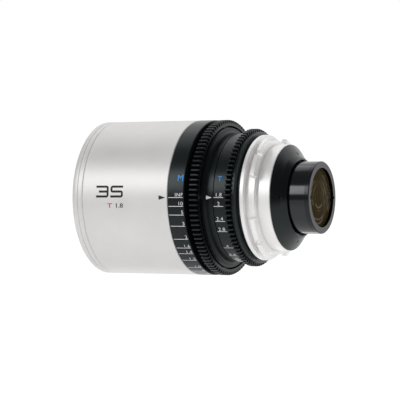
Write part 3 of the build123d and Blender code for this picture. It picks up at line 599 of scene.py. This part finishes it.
# %% Ranges, mixes and directions
def change_range(tree, value, start, stop, low=0.0, high=1.0, **settings):
    """Maps a value from start and stop to low and high, and holds it there."""
    values = {"Value": value, "From Min": start, "From Max": stop, "To Min": low, "To Max": high}
    return add_node(tree, "ShaderNodeMapRange", values, "Result", **settings)


def mix_colours(tree, share, first, second):
    """A mix of two colours."""
    values = {"Factor": share, "A": first, "B": second}
    return add_node(tree, "ShaderNodeMix", values, "Result", data_type="RGBA")


def calculate(tree, operation, first, second):
    """One calculation with two numbers."""
    values = {0: first, 1: second}
    return add_node(tree, "ShaderNodeMath", values, "Value", operation=operation)


def facing(tree, way, direction):
    """How far a way points in a direction, from -1 to 1."""
    values = {0: way, 1: direction}
    return add_node(tree, "ShaderNodeVectorMath", values, "Value", operation="DOT_PRODUCT")


changers = (change_range, mix_colours, calculate, facing)
print("nodes that change a value:", ", ".join(helper.__name__ for helper in changers))

# %% [markdown]
# ## Marking paint
# Filled engraving is matte and slightly uneven. One small function makes each colour, with a
# fine noise in its value so that no letter is a single flat colour.

# %% Marking paint
PAINT_ROUGHNESS = 0.55
PAINT_GRAIN = 2500.0


def marking_paint(name, colour, darker):
    """A matte paint that varies a little in value."""
    paint, tree, shader = new_finish(name)
    grain = noise(tree, object_place(tree), PAINT_GRAIN, 3.0)
    uneven = mix_colours(tree, grain, opaque(darker), opaque(colour))
    feed(tree, shader, {"Roughness": PAINT_ROUGHNESS, "Base Color": uneven})
    print("paint", name)
    return paint


white_paint = marking_paint("white_paint", (0.86, 0.86, 0.85), (0.66, 0.66, 0.65))
black_paint = marking_paint("black_paint", (0.006, 0.007, 0.008), (0.012, 0.012, 0.014))
blue_paint = marking_paint("blue_paint", (0.01, 0.27, 0.72), (0.01, 0.22, 0.6))
red_paint = marking_paint("red_paint", (0.50, 0.06, 0.055), (0.38, 0.05, 0.045))

# %% [markdown]
# ## Focus scale
# The distance scale starts at infinity at clock angle 0. Distances fall below it, so the ring
# brings them up to the index. A cam of constant pitch spaces them by one over the distance.

# %% Focus scale
FOCUS_NEAR = 0.7
FOCUS_THROW = 90.0
FOCUS_FRONT, FOCUS_REAR = -42.5, -34.45
distances = ("10", "5", "3", "2", "1.6", "1.4", "1.2", "1.0", ".9", ".8", ".7")
focus_rows = [("INF", 0.0)]
focus_rows += [(words, -FOCUS_THROW * FOCUS_NEAR / float(words)) for words in distances]
focus_marks = []
for words, angle in focus_rows:
    focus_marks.append(scale_line(FOCUS_FRONT, FOCUS_REAR, OUTER, angle))
    focus_marks.append(scale_text(words, FOCUS_REAR, OUTER, angle, **NUMBERS))
finish_marks("focus_scale", focus_marks, "focus_ring_body", white_paint)
metre_letter = scale_text("M", FOCUS_REAR, OUTER, angle=11.2, height=3.4)
finish_marks("focus_unit", [metre_letter], "focus_ring_body", blue_paint)

# %% [markdown]
# ## Iris scale
# From one whole stop to the next, the light falls by half. The clock angles come from the iris
# itself, whose hole shrinks nearly evenly as the ring turns, so the small stops crowd together.

# %% Iris scale
IRIS_RADIUS = 33.0
IRIS_FRONT, IRIS_REAR = -20.9, -15.6
stops = ((1.8, 0.0), (2, 7.7), (2.4, 21.1), (2.8, 31.0), (4, 50.0), (5.6, 63.0), (8, 72.0))
stops += ((11, 79.0), (16, 85.0), (22, 89.5))
middle = (IRIS_FRONT + IRIS_REAR) / 2
iris_marks = []
for stop, angle in stops:
    iris_marks.append(scale_line(IRIS_FRONT, IRIS_REAR, IRIS_RADIUS, -angle))
    iris_marks.append(
        scale_text(f"{stop:g}", middle, IRIS_RADIUS, -angle, align="CENTER", **NUMBERS)
    )
finish_marks("iris_scale", iris_marks, "iris_ring_body", white_paint)
iris_letter = scale_text(
    "T", -18.0, IRIS_RADIUS, angle=13.4, height=2.8, align="CENTER", stretch=0.95, weight=0.04
)
finish_marks("iris_unit", [iris_letter], "iris_ring_body", blue_paint)

# %% [markdown]
# ## The barrel's figures
# The barrel says what lens it is, by focal length, in plain figures. They are wide, with strokes
# of one width, round outer corners and square inner ones, which the built-in font can't give, so
# each figure is drawn as one outline.

# %% Outlines of the figures
FIGURE_WIDTH = 7.2
FIGURE_HEIGHT = 6.1
FIGURE_STROKE = 1.1
FIGURE_TONGUE = 1.6
FIGURE_CORNER = 1.3
wide, tall, stroke, tongue = FIGURE_WIDTH, FIGURE_HEIGHT, FIGURE_STROKE, FIGURE_TONGUE
low, high = (tall - stroke) / 2, (tall + stroke) / 2
three = [(0, 0), (wide, 0), (wide, tall), (0, tall), (0, tall - stroke)]
three += [(wide - stroke, tall - stroke), (wide - stroke, high), (tongue, high), (tongue, low)]
three += [(wide - stroke, low), (wide - stroke, stroke), (0, stroke)]
five = [(0, 0), (wide, 0), (wide, high), (stroke, high), (stroke, tall - stroke)]
five += [(wide, tall - stroke), (wide, tall), (0, tall), (0, low), (wide - stroke, low)]
five += [(wide - stroke, stroke), (0, stroke)]
print("a figure has", len(three), "corners")

# %% [markdown]
# ## Index marks and the barrel's lettering
# Two long triangles point at the scales: a black one on the barrel and a white one on the fixed
# ring. The widest stop stands under the figures, with its letter in red.

# %% Index marks and lettering
FIGURE_END = -68.3
FIGURE_GAP = 1.05
LETTER_OFFSET = 6.3
UNDER_FIGURES = {"angle": -8.0, "height": 2.3}


def index_arrow(base, point, half_width, radius):
    """A long triangle that points along the axis at a scale."""
    arrow = flat_outline([(base, -half_width), (point, 0.0), (base, half_width)])
    return roll_on(arrow, 0.0, radius, 0.0)


barrel_marks = [index_arrow(-48.0, -44.2, 1.15, OUTER)]
barrel_marks.append(
    scale_text("1.8", FIGURE_END, OUTER, stretch=1.25, weight=0.05, **UNDER_FIGURES)
)
for outline, rounded, start in (
    (three, (1, 2), FIGURE_END - 2 * FIGURE_WIDTH - FIGURE_GAP),
    (five, (1, 2, 7, 8), FIGURE_END - FIGURE_WIDTH),
):
    figure = flat_outline(outline, rounded, FIGURE_CORNER)
    barrel_marks.append(roll_on(figure, start, OUTER, 0.0))
finish_marks("barrel_figures", barrel_marks, "housing", black_paint)
stop_letter = scale_text(
    "T", FIGURE_END - LETTER_OFFSET, OUTER, stretch=1.5, weight=0.06, **UNDER_FIGURES
)
finish_marks("stop_letter", [stop_letter], "housing", red_paint)
ring_index = index_arrow(-26.0, -21.9, 1.3, IRIS_RADIUS)
finish_marks("iris_index", [ring_index], "housing", white_paint)

# %% [markdown]
# ## The surface of turned metal
# All the metal was turned, so its finest marks run round the axis. A noise that reads only the
# place along the axis and the radius gives such rings on barrels and on end faces alike. A second,
# even noise is the grain of anodising or bead blasting, and a broad one breaks up the gloss and
# the colour the way handling does.

# %% The surface of turned metal
RING_SCALE = 5200.0
GRAIN_SCALE = 7000.0
BROAD_SCALE = 70.0
GLOSS_SPREAD = 0.04
COLOUR_SPREAD = 0.06
LEAST_ROUGHNESS = 0.02


def turned_bumps(tree, place, turned, rings, grain):
    """The normal of turned metal, from the heights of its rings and its grain in metres."""
    values = {"Height": noise(tree, turned, RING_SCALE, 2.0, "2D"), "Distance": rings}
    ringed = add_node(tree, "ShaderNodeBump", values, "Normal")
    values = {"Height": noise(tree, place, GRAIN_SCALE, 2.0), "Distance": grain, "Normal": ringed}
    return add_node(tree, "ShaderNodeBump", values, "Normal")


def handled(tree, place, colour, roughness):
    """A colour and a roughness that differ a little from place to place."""
    broad = noise(tree, place, BROAD_SCALE, 4.0)
    least = max(LEAST_ROUGHNESS, roughness - GLOSS_SPREAD)
    gloss = change_range(tree, broad, 0.0, 1.0, least, roughness + GLOSS_SPREAD)
    darker, lighter = opaque(colour, 1 - COLOUR_SPREAD), opaque(colour, 1 + COLOUR_SPREAD)
    return mix_colours(tree, broad, darker, lighter), gloss


print("turning rings are about", round(1000.0 / RING_SCALE, 2), "mm apart")

# %% [markdown]
# ## Painted shade in sheltered places
# Light hardly reaches a deep groove, so a finish is painted darker and less glossy where it is
# sheltered: this is painted shade, not a colour of the metal. Ambient occlusion finds the corners
# of a steel mount and of a cove. The gaps between teeth and the inside of a ring are found by
# their radius, which is cleaner and costs no extra rays. An end face that looks back keeps its
# gloss and gets no painted shade.

# %% Painted shade in sheltered places
CREVICE_POWER = 3.0
CREVICE_SAMPLES = 8
BELOW_TIP = 0.0013
NEAR_TIP = 0.0004
REARWARD = (1.0, 0.0, 0.0)


def rearward(tree):
    """How far a face looks back, along the axis."""
    normal = add_node(tree, "ShaderNodeNewGeometry", {}, "True Normal")
    return facing(tree, normal, REARWARD)


def open_by_occlusion(tree, distance):
    """How open a place is, where walls nearer than a distance in metres count."""
    values = {"Distance": distance}
    occlusion = add_node(
        tree, "ShaderNodeAmbientOcclusion", values, "AO", samples=CREVICE_SAMPLES
    )
    return calculate(tree, "POWER", occlusion, CREVICE_POWER)


def open_by_radius(tree, radius, tip):
    """How open a place is, from how near it is to the tip's radius in metres."""
    height = change_range(tree, radius, tip - BELOW_TIP, tip - NEAR_TIP)
    return calculate(tree, "MAXIMUM", height, rearward(tree))


print("a groove counts as deep from", BELOW_TIP, "m below the tip")

# %% [markdown]
# ## A metal finish
# One function puts these together. The black coatings are a little blue in their gloss, as black
# anodising is, so their specular has a cast. A metal's gloss has its own colour and needs none. The
# iris ring's collar gets painted light: a finish can have a second, lighter colour on the face that
# looks back.

# %% A metal finish
BLUE_CAST = (0.86, 0.97, 1.0)
REAR_FROM, REAR_TO = 0.6, 0.9


def turned_finish(
    name,
    colour,
    roughness,
    rings,
    grain,
    metallic=0.0,
    gloss=0.5,
    crevice=None,
    tip=None,
    sheltered=0.25,
    painted_rear_light=None,
    cast=BLUE_CAST,
):
    """A metal finish with turning rings and grain, as bump distances in metres."""
    finish, tree, shader = new_finish(name)
    place = object_place(tree)
    x, y, z = parts_of(tree, place)
    radius = length_across(tree, y, z)
    turned = add_node(tree, "ShaderNodeCombineXYZ", {"X": x, "Y": radius}, "Vector")
    coat, uneven = handled(tree, place, colour, roughness)
    feed(tree, shader, {"Metallic": metallic, "Roughness": uneven, "Specular IOR Level": gloss})
    if not metallic:
        feed(tree, shader, {"Specular Tint": opaque(cast)})
    # painted light: a face that looks back gets a second, lighter colour
    if painted_rear_light:
        share = change_range(tree, rearward(tree), REAR_FROM, REAR_TO)
        coat = mix_colours(tree, share, coat, opaque(painted_rear_light))
    # painted shade: sheltered places get a darker colour and less gloss
    if crevice or tip:
        exposed = open_by_radius(tree, radius, tip) if tip else open_by_occlusion(tree, crevice)
        coat = mix_colours(tree, exposed, opaque(colour, sheltered), coat)
        feed(tree, shader, {"Specular IOR Level": calculate(tree, "MULTIPLY", exposed, gloss)})
    bumps = turned_bumps(tree, place, turned, rings, grain)
    feed(tree, shader, {"Base Color": coat, "Normal": bumps})
    print("finish", name)
    return finish


# %% [markdown]
# ## Anodised rings
# The rings are anodised black. The black is written as dark as it is: what makes it look grey is
# its gloss. The rings with teeth or a deep groove get painted shade towards the axis, by the radius
# of their tips, the cove of the fixed ring gets painted shade by ambient occlusion, and the collar
# gets painted light on its rear face.

# %% Anodised rings
FINE = 1e-6
ANODISED = {
    "colour": (0.0048, 0.0064, 0.0072),
    "roughness": 0.30,
    "rings": 3.0 * FINE,
    "grain": 3.0 * FINE,
}
finishes = {
    "ring_black": turned_finish("black_anodising", **ANODISED, gloss=0.34),
    # painted shade between the teeth and in the groove, found by radius
    "focus_black": turned_finish("focus_black", **ANODISED, gloss=0.34, tip=0.040),
    "gear_black": turned_finish("gear_black", **ANODISED, gloss=0.34, tip=0.0352),
    # painted light on the collar's face that looks back
    "collar_black": turned_finish(
        "collar_black", **ANODISED, gloss=0.34, painted_rear_light=(0.040, 0.046, 0.048)
    ),
    # painted shade in the cove, by ambient occlusion
    "cove_black": turned_finish("cove_black", **ANODISED, gloss=0.30, crevice=0.003),
}

# %% [markdown]
# ## Barrel and mount
# The barrel has a matte light coating that is half metal in its gloss. The mount is bare steel with
# plain turning marks, and only its corners get a little painted shade.

# %% Barrel and mount
finishes["barrel_grey"] = turned_finish(
    "barrel_coating",
    (0.74, 0.73, 0.72),
    roughness=0.46,
    rings=1.0 * FINE,
    grain=2.0 * FINE,
    metallic=0.5,
)
finishes["mount_steel"] = turned_finish(
    "turned_steel",
    (0.97, 0.955, 0.945),
    roughness=0.46,
    rings=4.0 * FINE,
    grain=2.0 * FINE,
    metallic=0.7,
    # painted shade in the mount's corners, by ambient occlusion
    crevice=0.0010,
    sheltered=0.87,
)

# %% [markdown]
# ## Tube, end ring and cone
# The rear tube and its end ring are polished, so they mirror the lamps as sharp streaks. The cone
# behind the mount is duller. All three are nearly neutral. The end ring gets painted shade inside
# its bore, found by radius.

# %% Tube, end ring and cone
POLISHED = {"rings": 1.0 * FINE, "grain": 0.3 * FINE}
finishes["tube_gloss_black"] = turned_finish(
    "polished_black",
    (0.003, 0.0036, 0.0044),
    roughness=0.13,
    gloss=0.58,
    cast=(0.97, 0.98, 1.0),
    **POLISHED,
)
finishes["end_ring_black"] = turned_finish(
    "end_ring_black",
    (0.005, 0.0056, 0.0064),
    roughness=0.17,
    gloss=0.40,
    # painted shade inside the bore and its slots
    tip=0.0166,
    cast=(0.94, 0.98, 1.0),
    **POLISHED,
)
finishes["cone_black"] = turned_finish(
    "cone_black",
    (0.0018, 0.0022, 0.0024),
    roughness=0.24,
    rings=2.0 * FINE,
    grain=2.0 * FINE,
    gloss=0.45,
)

# %% [markdown]
# ## Finishes of screws and of the inside
# The screws in the cone are blackened, and the ones inside are bare. Inside, matte black keeps
# stray light down, the cam runs on brass, and the iris blades have a dark dry coating. Little of
# it is seen at rest, but the front glass shows the iris.

# %% Finishes of screws and of the inside
finishes["screw_black"] = turned_finish(
    "screw_black", (0.008, 0.008, 0.009), roughness=0.5, rings=2.0 * FINE, grain=1.0 * FINE
)
finishes["screw_steel"] = turned_finish(
    "screw_steel",
    (0.30, 0.30, 0.31),
    roughness=0.34,
    rings=3.0 * FINE,
    grain=1.0 * FINE,
    metallic=1.0,
)
finishes["inner_black"] = turned_finish(
    "matte_black", (0.018, 0.018, 0.019), roughness=0.62, rings=6.0 * FINE, grain=8.0 * FINE
)
finishes["brass"] = turned_finish(
    "bearing_brass",
    (0.70, 0.52, 0.26),
    roughness=0.30,
    rings=5.0 * FINE,
    grain=1.0 * FINE,
    metallic=1.0,
)
finishes["blade_steel"] = turned_finish(
    "blade_coating",
    (0.025, 0.025, 0.027),
    roughness=0.5,
    rings=2.0 * FINE,
    grain=4.0 * FINE,
    metallic=0.3,
)

# %% [markdown]
# ## Glass
# A coated element mirrors very little, and what it mirrors is tinted. An index far below that of
# glass gives the weak mirror that a coating leaves, and a tinted specular gives its colour. The
# coating is smooth, so the roughness is nought. Real transmission lets the black cells behind the
# glass give the deep tone. Painted reflections stand for the rings of the cells inside, which a
# curved glass shows bent: lighter arcs in the base colour, drawn by a noise that reads the radius.

# %% Coated glass
COATING_SCALE = 90.0
COATING_LOW, COATING_HIGH = 0.44, 0.56
ARC_CENTRE = 0.003
ARC_STRETCH = 0.16
ARC_SCALE = 800.0
ARC_FROM, ARC_TO = 0.57, 0.70


def arc_noise(tree, place):
    """A noise that runs in arcs round a line beside the axis."""
    _, y, z = parts_of(tree, place)
    radius = length_across(tree, calculate(tree, "ADD", y, ARC_CENTRE), z)
    along = calculate(tree, "MULTIPLY", z, ARC_STRETCH)
    curve = add_node(tree, "ShaderNodeCombineXYZ", {"X": radius, "Y": along}, "Vector")
    return noise(tree, curve, ARC_SCALE, 1.0, "2D")


def coated_glass(name, tint, coating, index, clearness, arcs=None):
    """Clear glass whose reflections carry the coating's colour."""
    glass, tree, shader = new_finish(name)
    place = object_place(tree)
    uneven = noise(tree, place, COATING_SCALE, 2.0)
    level = change_range(tree, uneven, 0.0, 1.0, COATING_LOW, COATING_HIGH)
    values = {"Base Color": opaque(tint), "Roughness": 0.0, "IOR": index}
    values["Transmission Weight"] = clearness
    values["Specular Tint"] = opaque(coating)
    values["Specular IOR Level"] = level
    feed(tree, shader, values)
    # painted reflection: lighter arcs mixed into the base colour
    if arcs:
        bright = change_range(tree, arc_noise(tree, place), ARC_FROM, ARC_TO)
        feed(tree, shader, {"Base Color": mix_colours(tree, bright, opaque(tint), opaque(arcs))})
    print("glass", name)
    return glass


print("arcs run round a line", 1000.0 * ARC_CENTRE, "mm beside the axis")

# %% [markdown]
# ## The two kinds of glass
# The last element has an amber coating, a deep tint and faint arcs of painted reflection. The
# others are clear, with a coating of a like colour.

# %% The two kinds of glass
finishes["glass_amber"] = coated_glass(
    "amber_coated_glass",
    (0.080, 0.056, 0.017),
    (1.0, 0.66, 0.34),
    index=1.04,
    clearness=0.60,
    arcs=(0.26, 0.22, 0.15),
)
finishes["glass_clear"] = coated_glass(
    "coated_glass", (0.97, 0.98, 0.97), (1.0, 0.72, 0.45), index=1.15, clearness=1.0
)

# %% [markdown]
# ## Dressing the CAD pieces and the new pieces
# The record says which slot each CAD node has, so one loop dresses them all. A few pieces get a
# finish of their own instead.

# %% Finishes on every piece
finish_of = {row["node"]: row["material_slot"] for row in frame["record"]["subparts"]}
finish_of["rear_shroud"] = "cone_black"
finish_of["rear_end_ring"] = "end_ring_black"
finish_of["index_ring"] = "cove_black"
finish_of["iris_ring"] = "collar_black"
for node, piece in frame["nodes"].items():
    for slot in piece.material_slots:
        slot.material = finishes[finish_of[node]]
for piece, finish in (
    (filter_ring_piece, "barrel_grey"),
    (barrel_piece, "barrel_grey"),
    (focus_ring_piece, "focus_black"),
    (focus_gear_piece, "focus_black"),
    (iris_gear_piece, "gear_black"),
    (screws_piece, "screw_black"),
):
    piece.data.materials.append(finishes[finish])
print("dressed", len(frame["nodes"]), "nodes")

# %% [markdown]
# ## Camera
# The place and focal length of the camera were worked out from the photograph's circles: 26
# degrees behind the lens's side, level with the axis, 0.92 m away. The slight shift puts the axis
# at its height in the frame without tilting the camera.

# %% Camera
VIEW_ANGLE = math.radians(25.96)
CAMERA_DISTANCE = 0.9247
SENSOR_WIDTH = 36.0
FOCAL_LENGTH = 160.2
FRAME_SHIFT = -0.0061
AIM = Vector((-0.0444, 0.0, 0.0))
camera_data = bpy.data.cameras.new("camera")
camera_data.sensor_width = SENSOR_WIDTH
camera_data.lens = FOCAL_LENGTH
camera_data.shift_y = FRAME_SHIFT
camera = bpy.data.objects.new("camera", camera_data)
bpy.context.scene.collection.objects.link(camera)
towards = Vector((-math.sin(VIEW_ANGLE), math.cos(VIEW_ANGLE), 0.0))
camera.location = AIM - towards * CAMERA_DISTANCE
camera.rotation_euler = towards.to_track_quat("-Z", "Y").to_euler()
bpy.context.scene.camera = camera
print("camera at", tuple(round(c, 3) for c in camera.location))

# %% [markdown]
# ## Lamps
# Three soft lamps hang a little in front of the lens, where the camera sees them mirrored in its
# cylinders: a tall strip above the camera's side, which is the key, a weak one low behind, and a
# long one on top. An area lamp gives the wide soft streaks that a spot lamp couldn't.

# %% Lamps
def soft_lamp(name, offset, size, power):
    """A rectangular area lamp, at an offset from the lens, that points at it."""
    data = bpy.data.lights.new(name, "AREA")
    data.shape = "RECTANGLE"
    data.size, data.size_y = size
    data.energy = power
    lamp = bpy.data.objects.new(name, data)
    bpy.context.scene.collection.objects.link(lamp)
    lamp.location = AIM + Vector(offset)
    lamp.rotation_euler = (AIM - lamp.location).to_track_quat("-Z", "Y").to_euler()
    print(name, power, "W")


soft_lamp("key_strip", (-0.44, -0.815, 0.380), size=(0.35, 0.44), power=2.05)
soft_lamp("low_back_strip", (-0.352, 0.592, -0.416), size=(0.35, 0.16), power=0.2)
soft_lamp("top_strip", (-0.44, 0.18, 0.88), size=(0.7, 0.30), power=0.7)

# %% [markdown]
# ## World
# The photograph is a cut-out on white, so the background must be white without lighting the lens
# too strongly. Light Path tells the rays apart. The camera sees white. Mirrors and glass see the
# white backdrop behind the lens and dark walls elsewhere, because blacks that mirror white on all
# sides would look grey. Every other ray gets the world's plain level, a little higher low down.

# %% World
world = bpy.data.worlds.new("studio")
bpy.context.scene.world = world
world.use_nodes = True
studio = world.node_tree
heading = add_node(studio, "ShaderNodeTexCoord", {}, "Generated")


def world_step(direction, start, stop, low, high):
    """A smooth change of the world's level with how far a ray points in one direction."""
    share = facing(studio, heading, direction)
    return change_range(
        studio, share, start, stop, low, high, interpolation_type="SMOOTHSTEP"
    )


rays = studio.nodes.new("ShaderNodeLightPath").outputs
backdrop = world_step((0.0, 1.0, 0.0), start=0.20, stop=0.60, low=0.0, high=1.0)
walls = world_step((1.0, 0.0, 0.0), start=0.50, stop=0.80, low=0.15, high=0.10)
plain = world_step((0.0, 0.0, 1.0), start=-0.10, stop=0.40, low=1.08, high=0.78)
levels = {
    "Factor": calculate(studio, "MAXIMUM", rays["Is Glossy Ray"], rays["Is Transmission Ray"]),
    "A": plain,
    "B": calculate(studio, "MAXIMUM", backdrop, walls),
}
level = add_node(studio, "ShaderNodeMix", levels, "Result")
strength = calculate(studio, "MAXIMUM", rays["Is Camera Ray"], level)
feed(studio, studio.nodes["Background"], {"Color": WHITE, "Strength": strength})
print("world has", len(studio.nodes), "nodes")

# %% [markdown]
# ## Floor
# A pale floor far below sends soft light up and takes the shadow. The camera sees it as white, by
# a glow that only camera rays meet, so that it ends nowhere in the frame.

# %% Floor
FLOOR = -0.45
FLOOR_REACH = 3.2
FLOOR_ROUGHNESS = 0.9
FLOOR_PALE = opaque((0.95, 0.95, 0.95))
floor_mesh = bmesh.new()
bmesh.ops.create_grid(floor_mesh, x_segments=1, y_segments=1, size=FLOOR_REACH)
bmesh.ops.translate(floor_mesh, vec=(0, 0, FLOOR), verts=floor_mesh.verts[:])
floor_data = bpy.data.meshes.new("floor")
floor_mesh.to_mesh(floor_data)
floor_mesh.free()
floor = bpy.data.objects.new("floor", floor_data)
bpy.context.scene.collection.objects.link(floor)
floor_finish, floor_tree, floor_shader = new_finish("pale_floor")
seen = floor_tree.nodes.new("ShaderNodeLightPath").outputs["Is Camera Ray"]
feed(floor_tree, floor_shader, {"Base Color": FLOOR_PALE, "Roughness": FLOOR_ROUGHNESS})
feed(floor_tree, floor_shader, {"Emission Color": WHITE, "Emission Strength": seen})
floor_data.materials.append(floor_finish)
print("floor", -FLOOR, "m below the axis")

# %% [markdown]
# ## Colour view, and the end
# Standard view shows a colour as it is written, without a film's curve. The dressed lens must fit
# the CAD model's box.

# %% Colour view and finish
bpy.context.scene.view_settings.view_transform = "Standard"
